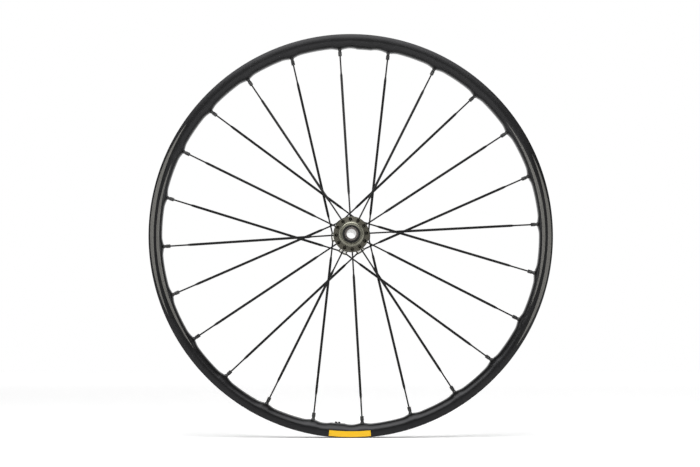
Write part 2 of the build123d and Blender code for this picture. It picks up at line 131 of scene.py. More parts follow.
# %% [markdown]
# Most of the wheel is rings and rods, so one helper makes nearly every mesh: it takes rows of
# points, each row a closed loop, as round a spoke, and joins each row to the next with quads. The
# rows can close on themselves too, as round the rim, or end in two flat caps. Smooth shading with a
# limit on the angle keeps real edges crisp and curved faces smooth.

# %% Mesh helpers
SHARP_ANGLE = radians(32)


def join_rows(rows, close_rows):
    """Faces between rows of equal length, each row a closed loop of points."""
    count = len(rows[0])
    points = [point for row in rows for point in row]
    faces = []
    last = len(rows) if close_rows else len(rows) - 1
    for i in range(last):
        here = i * count
        there = (i + 1) % len(rows) * count
        for j in range(count):
            k = (j + 1) % count
            faces.append((here + j, here + k, there + k, there + j))
    if not close_rows:
        faces.append(tuple(reversed(range(count))))
        top = (len(rows) - 1) * count
        faces.append(tuple(top + j for j in range(count)))
    return points, faces


def build_mesh(name, parts):
    """One mesh from one or more (points, faces) parts."""
    points, faces = [], []
    for part_points, part_faces in parts:
        base = len(points)
        points += part_points
        faces += [tuple(base + index for index in face) for face in part_faces]
    mesh = bpy.data.meshes.new(name)
    mesh.from_pydata([tuple(point) for point in points], [], faces)
    mesh.validate()
    return mesh


def add_object(name, data):
    """An object in the scene for a mesh, a lamp or a camera."""
    item = bpy.data.objects.new(name, data)
    bpy.context.scene.collection.objects.link(item)
    return item


def place_mesh(name, mesh, body="wheel"):
    """An object for a finished mesh, shaded smooth up to real edges and riding on a CAD body."""
    mesh.shade_smooth()
    mesh.set_sharp_from_angle(angle=SHARP_ANGLE)
    piece = add_object(name, mesh)
    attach(piece, body)
    print(name, len(mesh.polygons), "faces")
    return piece


def add_mesh(name, parts):
    """One piece of the wheel from one or more (points, faces) parts."""
    return place_mesh(name, build_mesh(name, parts))


print("edges sharper than", round(degrees(SHARP_ANGLE)), "degrees stay crisp")

# %% [markdown]
# ## The rim
# The rim is an aluminium tube, extruded with its hollow section, rolled into a hoop and welded.
# A cutter then thins the bed between the spoke holes, so each nipple stands on a low pad. It could
# be a spun profile with the pads cut by booleans, but a swept section is cleaner: every station
# round the hoop draws the section for the bed's height there, and the flanks run into the bed as a
# smooth round. Stations are packed where the pads begin and end.

# %% Rim flank
EDGE_HALF_W = 14.2 * MM
EDGE_ROUND = 0.6 * MM
SIDE_H = 8.5 * MM
BED_HALF_W = 4.0 * MM
FLANK_STEPS = 18
BOW_STEPS = 6
ROUND_STEPS = 4
WIDEST_R = RIM_R - SIDE_H
ROUND_TOP_R = RIM_R - EDGE_ROUND
OUTER_RUN = ROUND_TOP_R - WIDEST_R
OUTER_FALL = RIM_HALF_W - EDGE_HALF_W
OUTER_BOW = (OUTER_RUN**2 + OUTER_FALL**2) / (2 * OUTER_FALL)


def flank_y(radius, bed=BED_R):
    """Half the rim's width at a radius: an ellipse from the bed to the widest place, then an arc."""
    if radius < WIDEST_R:
        fall = (WIDEST_R - radius) / (WIDEST_R - bed)
        return BED_HALF_W + (RIM_HALF_W - BED_HALF_W) * sqrt(max(0.0, 1 - fall**2))
    return RIM_HALF_W - OUTER_BOW + sqrt(OUTER_BOW**2 - (radius - WIDEST_R) ** 2)


def arc(centre, radius, start, stop):
    """Points on an arc in the section's (radius, y) plane, angles in degrees from the radius axis."""
    points = []
    for i in range(ROUND_STEPS + 1):
        angle = radians(start + (stop - start) * i / ROUND_STEPS)
        points.append((centre[0] + radius * cos(angle), centre[1] + radius * sin(angle)))
    return points


def side_outline(bed):
    """The outside of one flank, from the spoke bed to the rim's edge."""
    lower = []
    for i in range(FLANK_STEPS + 1):
        turn = pi / 2 * (1 - i / FLANK_STEPS)
        radius = WIDEST_R - (WIDEST_R - bed) * sin(turn)
        lower.append((radius, flank_y(radius, bed)))
    upper_radii = [WIDEST_R + OUTER_RUN * i / BOW_STEPS for i in range(1, BOW_STEPS)]
    upper = [(radius, flank_y(radius)) for radius in upper_radii]
    edge = arc((ROUND_TOP_R, EDGE_HALF_W - EDGE_ROUND), EDGE_ROUND, 90, 0)
    return lower + upper + edge


print("flank points:", len(side_outline(BED_R)))

# %% Rim section
EDGE_T = 1.5 * MM
BEAD_FLANGE_H = 6.0 * MM
BEAD_SEAT_W = 4.0 * MM
SEAT_ROUND = 0.9 * MM
WELL_DEPTH = 4.7 * MM
WELL_SLOPE_W = 2.0 * MM


def tyre_outline():
    """The tyre side of one flank, from the rim's edge to the foot of the well's slope."""
    wall_y = EDGE_HALF_W - EDGE_T
    seat_r = RIM_R - BEAD_FLANGE_H
    seat_y = wall_y - BEAD_SEAT_W
    lip = arc((ROUND_TOP_R, wall_y + EDGE_ROUND), EDGE_ROUND, 0, -90)
    corner = arc((seat_r + SEAT_ROUND, wall_y - SEAT_ROUND), SEAT_ROUND, 90, 180)
    well_r = seat_r - WELL_DEPTH
    return lip + corner + [(seat_r, seat_y), (well_r, seat_y - WELL_SLOPE_W)]


def rim_outline(bed):
    """The whole section, walked round once, for one height of the bed."""
    near_half = side_outline(bed) + tyre_outline()
    outline = [(r, -y) for r, y in near_half] + [(r, y) for r, y in reversed(near_half)]
    return outline + [(bed, BED_HALF_W / 3), (bed, -BED_HALF_W / 3)]


print("rim outline points:", len(rim_outline(BED_R)))

# %% [markdown]
# The cutter is a wheel that dips into the bed beside one nipple, runs along at an even depth, and
# rises again before the next. So the bed has a curved ramp beside each pad, with the cutter's own
# radius. Two gaps keep their middle plain: the valve's, and the weld's across from it. One formula
# gives the bed at any angle, for the hoop now and for the printed films later.

# %% Milled bed
MILL_DEPTH = 1.75 * MM
CUTTER_R = 34.0 * MM
PAD_HALF_L = 5.15 * MM
ANGLE_SLACK = 0.01
HALF_GAP = SPOKE_PITCH / 2
PAD_HALF = degrees(PAD_HALF_L / BED_R)
cutter_path_r = BED_R + MILL_DEPTH - CUTTER_R
ramp_cos = (cutter_path_r**2 + BED_R**2 - CUTTER_R**2) / (2 * cutter_path_r * BED_R)
CUTTER_STOP = PAD_HALF + degrees(acos(ramp_cos))
bush_low, bush_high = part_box("valve_hole_bush")
bush_middle = (bush_low + bush_high) / 2
VALVE_ANGLE = degrees(atan2(bush_middle.z, bush_middle.x)) % 360
PLAIN_ANGLES = (VALVE_ANGLE, (VALVE_ANGLE + 180) % 360)


def cutter_reach(offset):
    """The radius that the cutter reaches at an angle from where it stopped."""
    across = cutter_path_r * sin(radians(offset))
    if abs(across) >= CUTTER_R:
        return 0.0
    return cutter_path_r * cos(radians(offset)) + sqrt(CUTTER_R**2 - across**2)


def angle_apart(angle, other):
    """The angle between two places round the hoop, at most 180 degrees."""
    return abs((angle - other + 180) % 360 - 180)


def bed_at(angle):
    """The bed's radius at any angle round the hoop; a plain gap keeps its middle."""
    from_nipple = min(angle_apart(angle, nipple) for nipple in nipple_angles)
    plain = any(angle_apart(angle, middle) < HALF_GAP + ANGLE_SLACK for middle in PLAIN_ANGLES)
    if from_nipple > CUTTER_STOP and not plain:
        return BED_R + MILL_DEPTH
    return max(BED_R, cutter_reach(from_nipple - CUTTER_STOP))


print("each pad is flat for", round(2 * PAD_HALF, 2), "degrees of", SPOKE_PITCH)

# %% Rim hoop
PAD_STEPS = 3
RAMP_STEPS = 8
FLAT_STEPS = 10


def even_steps(start, stop, count):
    """Even steps from a start, which is left out, to a stop."""
    return [start + (stop - start) * i / count for i in range(1, count + 1)]


half_stations = even_steps(0.0, PAD_HALF, PAD_STEPS)
half_stations += even_steps(PAD_HALF, CUTTER_STOP, RAMP_STEPS)
half_stations += even_steps(CUTTER_STOP, HALF_GAP, FLAT_STEPS)
stations = [-offset for offset in reversed(half_stations[:-1])] + [0.0] + half_stations
rim_rows = []
for nipple_angle in nipple_angles:
    for offset in stations:
        angle = nipple_angle + offset
        rim_rows.append([around(r, angle, y) for r, y in rim_outline(bed_at(angle))])
rim = add_mesh("rim_hoop", [join_rows(rim_rows, True)])
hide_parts("rim")

# %% [markdown]
# The valve's hole is drilled through the finished hoop. The rows of the hoop could be bent round a
# circle there, but a boolean cut with a plain cylinder does what the drill does and leaves the rows
# simple. The cut mesh then takes the hoop's place, so that no modifier is left behind.

# %% Valve hole
VALVE_HOLE_R = 4.25 * MM
DRILL_OVER = 10.0 * MM
DRILL_SIDES = 48
tangent = around(1, VALVE_ANGLE + 90)
drill_rows = []
for reach in (BED_R - DRILL_OVER, RIM_R):
    centre = around(reach, VALVE_ANGLE)
    row = []
    for i in range(DRILL_SIDES):
        turn = 2 * pi * i / DRILL_SIDES
        row.append(centre + VALVE_HOLE_R * (cos(turn) * tangent + sin(turn) * AXLE_WAY))
    drill_rows.append(row)
drill = add_object("valve_drill", build_mesh("valve_drill", [join_rows(drill_rows, False)]))
cut = rim.modifiers.new("valve_hole", "BOOLEAN")
cut.operation = "DIFFERENCE"
cut.object = drill
bpy.context.view_layer.update()
drilled = bpy.data.meshes.new_from_object(rim.evaluated_get(bpy.context.evaluated_depsgraph_get()))
rim.modifiers.clear()
rim.data = drilled
rim.data.set_sharp_from_angle(angle=SHARP_ANGLE)
bpy.data.objects.remove(drill)
print("rim with valve hole:", len(rim.data.polygons), "faces")

# %% [markdown]
# ## The printed stripes
# The rim's flanks carry plain printed trim: grey stripes that swell and fade along the left and
# right, and one yellow mark below the valve. Each is a water-slide film, about a tenth of a
# millimetre thick and half sunk in the flank. Paint masks in the rim's material could draw them, but
# a thin closed film that follows the flank stays sharp at any distance and can be left off by itself.

# %% Printed stripes
FILM_T = 0.05 * MM
FILM_STEP = 0.5
STEPS_ACROSS = 8
SWELL_POWER = 0.7
# Start and stop in degrees from the rim's left or right end, middle radius, and greatest width.
STRIPES = (
    (-34, 24, RIM_R - 5.4 * MM, 5.6 * MM),
    (-22, 36, RIM_R - 14.4 * MM, 4.6 * MM),
)
# The mark's start and stop in degrees from the valve, and its inner and outer radius.
MARK_SPAN = (-2.2, 9.8)
MARK_RADII = (RIM_R - 10.6 * MM, RIM_R - 1.6 * MM)


def film_part(start, stop, edges, side):
    """A film along one flank; edges(share) gives its inner and outer radius along its length."""
    count = round((stop - start) / FILM_STEP)
    rows = []
    for i in range(count + 1):
        share = i / count
        angle = start + (stop - start) * share
        bed = bed_at(angle)
        low, high = edges(share)
        radii = [low + (high - low) * k / STEPS_ACROSS for k in range(STEPS_ACROSS + 1)]
        face = [around(r, angle, side * (flank_y(r, bed) + FILM_T)) for r in radii]
        back = [around(r, angle, side * (flank_y(r, bed) - FILM_T)) for r in reversed(radii)]
        # The row runs the other way on the other flank, so that both films face outwards.
        rows.append((face + back)[::-side])
    return join_rows(rows, False)


def swelling(middle, width):
    """A stripe that swells from a point and fades to a point."""

    def edges(share):
        half = max(width / 2 * sin(pi * share) ** SWELL_POWER, FILM_T)
        return middle - half, middle + half

    return edges


def plain_bar(low, high):
    """A bar with square ends."""
    return lambda share: (low, high)


stripe_parts = []
mark_parts = []
for side in (-1, 1):
    for turn in (0, 180):
        for start, stop, middle, width in STRIPES:
            stripe_parts.append(film_part(turn + start, turn + stop, swelling(middle, width), side))
    start, stop = [VALVE_ANGLE + offset for offset in MARK_SPAN]
    mark_parts.append(film_part(start, stop, plain_bar(*MARK_RADII), side))
stripes = add_mesh("printed_stripes", stripe_parts)
mark = add_mesh("printed_mark", mark_parts)

# %% [markdown]
# ## The spokes
# A bladed spoke starts as round wire. It is cut to length, one end is upset into a cone head, and
# the middle is pressed flat so that it cuts the wind. A cylinder with a scaled middle would look
# soft, because its edges would be elliptical. Here each ring is a rounded rectangle whose corner
# radius equals half the blade's thickness, so the round ends are true circles and the blade has
# true flats, with a smooth taper between.

# %% Spoke sections
WIRE_R = 1.24 * MM
BLADE_HALF_W = 1.95 * MM
BLADE_HALF_T = 0.6 * MM
BLADE_TAPER = 7.0 * MM
HEAD_R = 2.2 * MM
HEAD_L = 2.0 * MM
HEAD_ROUND = 0.25 * MM
ROUND_AT_HUB = 34.0 * MM
ROUND_AT_RIM = 37.0 * MM
SPOKE_SIDES = 20
TAPER_STEPS = 8


def smooth(share):
    """An even start and stop between 0 and 1."""
    return share * share * (3 - 2 * share)


def spoke_sections(to_bed, length):
    """(distance from the head's end, half width, half thickness) for each ring of a spoke."""
    sections = [
        (0, HEAD_R - HEAD_ROUND, HEAD_R - HEAD_ROUND),
        (HEAD_ROUND, HEAD_R, HEAD_R),
        (HEAD_L, WIRE_R, WIRE_R),
    ]
    first = HEAD_L + ROUND_AT_HUB
    last = to_bed - ROUND_AT_RIM
    for start, sense in ((first, 1), (last - BLADE_TAPER, -1)):
        for i in range(TAPER_STEPS + 1):
            share = smooth(i / TAPER_STEPS)
            flat = share if sense > 0 else 1 - share
            half_w = WIRE_R + (BLADE_HALF_W - WIRE_R) * flat
            half_t = WIRE_R + (BLADE_HALF_T - WIRE_R) * flat
            sections.append((start + BLADE_TAPER * i / TAPER_STEPS, half_w, half_t))
    sections.append((length, WIRE_R, WIRE_R))
    return sections


def spoke_ring(half_w, half_t):
    """A rounded rectangle, wide along its first axis, as pairs of numbers."""
    corner = min(half_w, half_t)
    ring = []
    for i in range(SPOKE_SIDES):
        turn = 2 * pi * (i + 0.5) / SPOKE_SIDES
        x = corner * cos(turn) + (half_w - corner) * (1 if cos(turn) > 0 else -1)
        y = corner * sin(turn) + (half_t - corner) * (1 if sin(turn) > 0 else -1)
        ring.append((x, y))
    return ring


print("blade", 2 * BLADE_HALF_W / MM, "by", 2 * BLADE_HALF_T / MM, "mm, wire", 2 * WIRE_R / MM, "mm")

# %% Spokes
def line_axes(along):
    """The two directions across a spoke: in the wheel's plane, and nearly along the axle."""
    wide = AXLE_WAY.cross(along).normalized()
    return wide, along.cross(wide)


for name in spoke_names:
    head, along, to_bed, length = spoke_lines[name]
    wide, thin = line_axes(along)
    rows = []
    for distance, half_w, half_t in spoke_sections(to_bed, length):
        centre = head + along * distance
        rows.append([centre + wide * x + thin * y for x, y in spoke_ring(half_w, half_t)])
    spoke = add_mesh("bladed_" + name, [join_rows(rows, False)])
    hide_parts(name)

# %% [markdown]
# ## The nipples
# Each nipple screws into the bed and carries the spoke's thread. Its head has fine splines between
# two plain rings, for a spoke key, and a neck runs up to a flared collar at the rim. The splines
# could be an array of cut grooves, but here the profile is turned about the spoke's line, and the
# splined stretch moves every ring in and out in a wave, which takes fewer faces.

# %% Nipples
SPLINES = 10
SIDES_PER_SPLINE = 6
NIPPLE_SIDES = SPLINES * SIDES_PER_SPLINE
SPLINE_DEPTH = 0.3 * MM
THREAD_OVER = 3.9 * MM
# Distance below the spoke bed, radius, and whether the ring is splined.
NIPPLE_PROFILE = (
    (-THREAD_OVER, 3.3 * MM, False),
    (-THREAD_OVER + 0.2 * MM, 3.5 * MM, False),
    (0.5 * MM, 3.5 * MM, False),
    (0.8 * MM, 3.4 * MM, False),
    (1.4 * MM, 2.8 * MM, False),
    (2.0 * MM, 2.55 * MM, False),
    (2.6 * MM, 2.4 * MM, False),
    (4.2 * MM, 2.4 * MM, False),
    (4.5 * MM, 2.7 * MM, False),
    (4.75 * MM, 2.88 * MM, False),
    (5.6 * MM, 2.9 * MM, False),
    (5.8 * MM, 2.84 * MM, True),
    (9.5 * MM, 2.84 * MM, True),
    (9.7 * MM, 2.9 * MM, False),
    (10.5 * MM, 2.88 * MM, False),
    (11.0 * MM, 2.5 * MM, False),
    (11.2 * MM, 1.9 * MM, False),
    (11.2 * MM, 1.3 * MM, False),
)


def nipple_part(head, along, to_bed):
    """One nipple, turned about its spoke's line."""
    wide, thin = line_axes(along)
    rows = []
    for below, radius, splined in reversed(NIPPLE_PROFILE):
        centre = head + along * (to_bed - below)
        row = []
        for i in range(NIPPLE_SIDES):
            turn = 2 * pi * i / NIPPLE_SIDES
            groove = SPLINE_DEPTH * (0.5 - 0.5 * cos(turn * SPLINES)) if splined else 0.0
            row.append(centre + (radius - groove) * (wide * cos(turn) + thin * sin(turn)))
        rows.append(row)
    return join_rows(rows, False)


nipples = add_mesh("splined_nipples", [nipple_part(*line[:3]) for line in spoke_lines.values()])
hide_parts("spoke_nipples")

# %% [markdown]
# ## The hub shell
# The shell is turned from one bar, milled and anodised. Its nose is polished before the dye, and
# the faces of the far lobes are cut clean again afterwards. Remaking the shell from nothing would
# only repeat its many holes, so a copy of its CAD mesh is worked instead. The flange's outer face
# is dished back towards its edge, so that it shades from light to dark, the lobes' faces are inset,
# and nose and lobes are given material slots of their own. The inset leaves a dark border of the
# shell's finish round each pale lobe face. It is made wide so that it is also painted shade along
# the lobes' edges.

# %% Dish the flange
FLANGE_FACE_Y = -39.5 * MM
FLANGE_CHAMFER = 0.8 * MM
FLANGE_R = 28.0 * MM
NOSE_R = 20.0 * MM
FLANGE_DISH = 1.2 * MM
WELD_DISTANCE = 0.001 * MM
NEAR = 0.05 * MM

work = bmesh.new()
work.from_mesh(nodes["hub_shell"].data)
bmesh.ops.remove_doubles(work, verts=work.verts, dist=WELD_DISTANCE)
for vertex in work.verts:
    reach = axle_distance(vertex.co)
    if vertex.co.y < FLANGE_FACE_Y + FLANGE_CHAMFER + NEAR and reach > NOSE_R + NEAR:
        vertex.co.y += FLANGE_DISH * (reach - NOSE_R) / (FLANGE_R - NOSE_R)
work.normal_update()
print("hub shell points:", len(work.verts))

# %% Nose and lobes
LOBE_FACE_Y = 20.98 * MM
LOBE_ROOT_R = 22.0 * MM
# The dark border round each pale lobe face is partly the shell's own finish and partly painted shade: its
# width is raised so that it also stands in for the shade on the lobes' edges.
LOBE_BORDER_WITH_PAINTED_SHADE = 1.8 * MM
SQUARE_ON = 0.99
NOSE_SLOT = 1
LOBE_SLOT = 2

lobe_faces = []
for face in work.faces:
    middle = face.calc_center_median()
    if middle.y < FLANGE_FACE_Y - NEAR:
        face.material_index = NOSE_SLOT
    on_plane = abs(middle.y - LOBE_FACE_Y) < NEAR and face.normal.y < -SQUARE_ON
    if on_plane and axle_distance(middle) > LOBE_ROOT_R:
        lobe_faces.append(face)
bmesh.ops.inset_region(work, faces=lobe_faces, thickness=LOBE_BORDER_WITH_PAINTED_SHADE, use_even_offset=True)
for face in lobe_faces:
    face.material_index = LOBE_SLOT
shell_mesh = bpy.data.meshes.new("dished_hub_shell")
work.to_mesh(shell_mesh)
work.free()
# The CAD's own normals no longer fit the dished face.
if "custom_normal" in shell_mesh.attributes:
    shell_mesh.attributes.remove(shell_mesh.attributes["custom_normal"])
shell = place_mesh("dished_hub_shell", shell_mesh)
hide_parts("hub_shell")
print("lobe faces:", len(lobe_faces))

# %% [markdown]
# ## Finishes
# Every finish is a small node tree. Colours are written as the sRGB hex that a picture shows and
# turned to linear light by one function. One more function adds a node, sets it and links it. All
# finishes drift between two close tones, because no real surface is one even colour. Patterns sit
# on object coordinates, which are metres in the wheel's own frame.

# %% Material helpers
TONE_STOPS = (0.25, 0.75)


def linear(hex_colour):
    """An sRGB hex colour as linear red, green, blue and alpha."""
    channels = []
    for i in (1, 3, 5):
        value = int(hex_colour[i : i + 2], 16) / 255
        channels.append(value / 12.92 if value <= 0.04045 else ((value + 0.055) / 1.055) ** 2.4)
    return (*channels, 1.0)


def add_node(tree, kind, settings=None, inputs=None):
    """Adds a node, sets its properties, and fills or links its inputs."""
    node = tree.nodes.new(kind)
    for key, value in (settings or {}).items():
        setattr(node, key, value)
    for key, value in (inputs or {}).items():
        if isinstance(value, bpy.types.NodeSocket):
            tree.links.new(value, node.inputs[key])
        else:
            node.inputs[key].default_value = value
    return node


def new_material(name):
    """An empty node material and its tree."""
    material = bpy.data.materials.new(name)
    material.use_nodes = True
    material.node_tree.nodes.clear()
    return material, material.node_tree


def drifting_tone(tree, place, size_mm, dark, light):
    """A colour that drifts between two tones in patches of a real size, and the drift itself."""
    noise = add_node(
        tree,
        "ShaderNodeTexNoise",
        inputs={"Vector": place, "Scale": 1000 / size_mm, "Detail": 4.0, "Roughness": 0.6},
    )
    ramp = add_node(tree, "ShaderNodeValToRGB", inputs={"Fac": noise.outputs["Fac"]})
    for element, stop, tone in zip(ramp.color_ramp.elements, TONE_STOPS, (dark, light)):
        element.position = stop
        element.color = linear(tone)
    return ramp.outputs["Color"], noise.outputs["Fac"]


def dress(piece, *materials):
    """Gives a piece its material, or one for each of its slots."""
    count = len(piece.data.materials)
    for slot, material in enumerate(materials):
        if slot < count:
            piece.data.materials[slot] = material
        else:
            piece.data.materials.append(material)


print("middle grey in linear light:", round(linear("#808080")[0], 3))

# %% [markdown]
# The rim is blasted with fine beads and then anodised black. The oxide is glassy and dyed, over
# metal, so the eye gets a dark charcoal with a broad, soft sheen where it turns to the light, not
# the mirror of bare metal. The blasted grain is about 0.1 mm, too fine to show, so it is drawn at
# 0.7 mm. The dye drifts in patches of about 45 mm.

# %% Rim finish
DYE_PATCH_MM = 45
BLAST_GRAIN_MM = 0.7
BLAST_BUMP = 0.12
BLAST_RELIEF = 0.05 * MM
ROUGH_DRIFT = 0.04


def blasted_metal(name, dark, light, roughness, metallic):
    """Blasted and blackened metal: a dull, even sheen over a fine grain."""
    material, tree = new_material(name)
    place = add_node(tree, "ShaderNodeTexCoord").outputs["Object"]
    colour, patches = drifting_tone(tree, place, DYE_PATCH_MM, dark, light)
    grain = add_node(
        tree,
        "ShaderNodeTexNoise",
        inputs={"Vector": place, "Scale": 1000 / BLAST_GRAIN_MM, "Detail": 2.0},
    )
    rough = add_node(
        tree,
        "ShaderNodeMapRange",
        inputs={"Value": patches, "To Min": roughness - ROUGH_DRIFT, "To Max": roughness + ROUGH_DRIFT},
    )
    bump = add_node(
        tree,
        "ShaderNodeBump",
        inputs={"Strength": BLAST_BUMP, "Distance": BLAST_RELIEF, "Height": grain.outputs["Fac"]},
    )
    surface = add_node(
        tree,
        "ShaderNodeBsdfPrincipled",
        inputs={
            "Base Color": colour,
            "Metallic": metallic,
            "Roughness": rough.outputs["Result"],
            "Normal": bump.outputs["Normal"],
        },
    )
    add_node(tree, "ShaderNodeOutputMaterial", inputs={"Surface": surface.outputs["BSDF"]})
    return material


rim_finish = blasted_metal(
    "satin_black_anodised_aluminium_blasted", "#212122", "#282829", roughness=0.31, metallic=0.8
)
dress(rim, rim_finish)
print("finish:", rim_finish.name)

# %% [markdown]
# The stripes are screen-printed ink under a clear lacquer: even colour with a soft gloss and no
# metal, and the faint dot grain of the screen. The screen's dots are 0.15 mm and are drawn at
# 0.6 mm to show.

# %% Printed film finish
DOT_MM = 0.6


def printed_film(name, dark, light, roughness):
    """Screen-printed ink: even colour, softly glossy, with the screen's dots."""
    material, tree = new_material(name)
    place = add_node(tree, "ShaderNodeTexCoord").outputs["Object"]
    colour, dots = drifting_tone(tree, place, DOT_MM, dark, light)
    rough = add_node(
        tree,
        "ShaderNodeMapRange",
        inputs={"Value": dots, "To Min": roughness - ROUGH_DRIFT, "To Max": roughness + ROUGH_DRIFT},
    )
    surface = add_node(
        tree,
        "ShaderNodeBsdfPrincipled",
        inputs={"Base Color": colour, "Roughness": rough.outputs["Result"]},
    )
    add_node(tree, "ShaderNodeOutputMaterial", inputs={"Surface": surface.outputs["BSDF"]})
    return material


stripe_finish = printed_film("grey_ink_screen_printed_film", "#4f4e4b", "#5a5955", roughness=0.38)
mark_finish = printed_film("yellow_ink_screen_printed_film", "#d9a800", "#e6b608", roughness=0.38)
dress(stripes, stripe_finish)
dress(mark, mark_finish)
print("finishes:", stripe_finish.name, mark_finish.name)

# %% [markdown]
# Spokes are stainless wire, blasted after the press and then blackened with an oxide coat: nearly
# black, with a dull even grain and a thin line of light along each blade. Nipples are turned bar,
# blasted and anodised a lighter black, so that their heads stand out from the rim. Both can use
# the rim's function, because the blasting gives them the same grain.

# %% Spoke and nipple finish
spoke_finish = blasted_metal(
    "black_oxide_stainless_wire_blasted", "#101010", "#171717", roughness=0.4, metallic=0.7
)
nipple_finish = blasted_metal(
    "grey_black_anodised_aluminium_blasted", "#323232", "#3e3e3e", roughness=0.34, metallic=0.7
)
for name in spoke_names:
    dress(bpy.data.objects["bladed_" + name], spoke_finish)
dress(nipples, nipple_finish)
print("finishes:", spoke_finish.name, nipple_finish.name)

# %% [markdown]
# The hub shell, caps and axle are turned on a lathe, so their finish carries fine rings about the
# axle. A turned ring is about 0.08 mm wide and is drawn at 0.5 mm to show. The shell's dark bronze
# dye looks dull and warm, its polished nose catches a bright ring of light, and the lobes' cut faces
# look pale and matt. The grey caps are a little brighter than the shell, and the bare bore and the
# ground bearing steel shine like mirrors.

# %% Turned metal
TURNED_PATCH_MM = 12
RING_MM = 0.5
RING_RELIEF = 0.04 * MM
RING_ROUGH_DRIFT = 0.05


def turned_metal(name, dark, light, roughness, metallic, ring_bump):
    """Turned metal: fine rings about the axle, which break up the light a little."""
    material, tree = new_material(name)
    place = add_node(tree, "ShaderNodeTexCoord").outputs["Object"]
    colour, _ = drifting_tone(tree, place, TURNED_PATCH_MM, dark, light)
    apart = add_node(tree, "ShaderNodeSeparateXYZ", inputs={"Vector": place})
    flat = add_node(
        tree,
        "ShaderNodeCombineXYZ",
        inputs={"X": apart.outputs["X"], "Z": apart.outputs["Z"]},
    )
    radius = add_node(tree, "ShaderNodeVectorMath", {"operation": "LENGTH"}, {0: flat.outputs["Vector"]})
    # Radius and place along the axle together give rings on flat faces and on round ones.
    across = add_node(
        tree,
        "ShaderNodeMath",
        {"operation": "ADD"},
        {0: radius.outputs["Value"], 1: apart.outputs["Y"]},
    )
    rings = add_node(
        tree,
        "ShaderNodeTexNoise",
        {"noise_dimensions": "1D"},
        {"W": across.outputs["Value"], "Scale": 1000 / RING_MM, "Detail": 3.0},
    )
    bump = add_node(
        tree,
        "ShaderNodeBump",
        inputs={"Strength": ring_bump, "Distance": RING_RELIEF, "Height": rings.outputs["Fac"]},
    )
    rough = add_node(
        tree,
        "ShaderNodeMapRange",
        inputs={
            "Value": rings.outputs["Fac"],
            "To Min": roughness - RING_ROUGH_DRIFT,
            "To Max": roughness + RING_ROUGH_DRIFT,
        },
    )
    surface = add_node(
        tree,
        "ShaderNodeBsdfPrincipled",
        inputs={
            "Base Color": colour,
            "Metallic": metallic,
            "Roughness": rough.outputs["Result"],
            "Normal": bump.outputs["Normal"],
        },
    )
    add_node(tree, "ShaderNodeOutputMaterial", inputs={"Surface": surface.outputs["BSDF"]})
    return material


print("rings drawn", RING_MM, "mm wide")

# %% Turned finishes
# Each has a dark and a light tone, then its roughness, its metallic and the strength of its rings.
hub_finish = turned_metal("bronze_black_anodised_aluminium_turned", "#424037", "#504e45", 0.42, 0.7, 0.06)
nose_finish = turned_metal("bronze_anodised_aluminium_polished", "#6a695d", "#7a796d", 0.25, 0.7, 0.06)
lobe_finish = turned_metal("clear_anodised_aluminium_face_cut", "#cfcec8", "#dddcd6", 0.5, 0.3, 0.06)
cap_finish = turned_metal("grey_anodised_aluminium_turned", "#55504d", "#625d5a", 0.34, 0.5, 0.1)
axle_finish = turned_metal("bare_aluminium_bored", "#a9a8a6", "#b5b4b2", 0.2, 1.0, 0.0)
steel_finish = turned_metal("bearing_steel_ground", "#8f8f90", "#a5a5a6", 0.2, 1.0, 0.1)
dress(shell, hub_finish, nose_finish, lobe_finish)
dress(nodes["axle"], axle_finish)
for side in ("right", "left"):
    dress(nodes[side + "_end_cap"], cap_finish)
    dress(nodes[side + "_bearing_outer_race"], steel_finish)
    dress(nodes[side + "_bearing_inner_race"], steel_finish)
    dress(nodes[side + "_bearing_balls"], steel_finish)
print("shell finishes:", hub_finish.name, nose_finish.name, lobe_finish.name)
print("axle finishes:", cap_finish.name, axle_finish.name, steel_finish.name)

# %% [markdown]
# Rubber seals and nylon pieces are moulded, with no metal and a slightly uneven skin. The seals are
# greased, so they are black with a soft gloss. The bush is duller, and the ball cages have the pale
# straw colour of undyed nylon. The skin's unevenness is about 3 mm across, which shows as it is.

# %% Moulded finishes
SKIN_PATCH_MM = 3
SKIN_BUMP = 0.2
SKIN_RELIEF = 0.04 * MM


def moulded(name, dark, light, roughness):
    """A moulded skin: one plain colour, slightly uneven."""
    material, tree = new_material(name)
    place = add_node(tree, "ShaderNodeTexCoord").outputs["Object"]
    colour, patches = drifting_tone(tree, place, SKIN_PATCH_MM, dark, light)
    bump = add_node(
        tree,
        "ShaderNodeBump",
        inputs={"Strength": SKIN_BUMP, "Distance": SKIN_RELIEF, "Height": patches},
    )
    surface = add_node(
        tree,
        "ShaderNodeBsdfPrincipled",
        inputs={"Base Color": colour, "Roughness": roughness, "Normal": bump.outputs["Normal"]},
    )
    add_node(tree, "ShaderNodeOutputMaterial", inputs={"Surface": surface.outputs["BSDF"]})
    return material


rubber_finish = moulded("black_nitrile_rubber_moulded", "#060606", "#0b0b0b", roughness=0.3)
bush_finish = moulded("black_nylon_moulded", "#141414", "#1c1c1c", roughness=0.5)
cage_finish = moulded("natural_nylon_moulded", "#b7ab90", "#c5ba9f", roughness=0.45)
dress(nodes["valve_hole_bush"], bush_finish)
for side in ("right", "left"):
    dress(nodes[side + "_dust_seal"], rubber_finish)
    dress(nodes[side + "_bearing_seals"], rubber_finish)
    dress(nodes[side + "_bearing_cage"], cage_finish)
print("moulded finishes:", rubber_finish.name, bush_finish.name, cage_finish.name)

# %% [markdown]
# ## Stage, light and camera
# The photograph is a catalogue cut-out: white all round, with soft light from high in front and a
# dim room behind the camera. A floor sheet and a backdrop stand in for the white. Both are pale
# paper, and both glow for the rays that only look at them, from the camera, in mirrors and through
# glass, so that the picture's ground is white without more light on the wheel. The floor glows
# less near the wheel, where it has to keep the wheel's shadow.

# %% Stage helpers
PAPER = linear("#f0f0f0")
floor_z = cad_box[0][2]


def stage_sheet(name, corners):
    """A flat sheet that isn't part of the wheel."""
    sheet = add_object(name, build_mesh(name, [(corners, [(0, 1, 2, 3)])]))
    return sheet


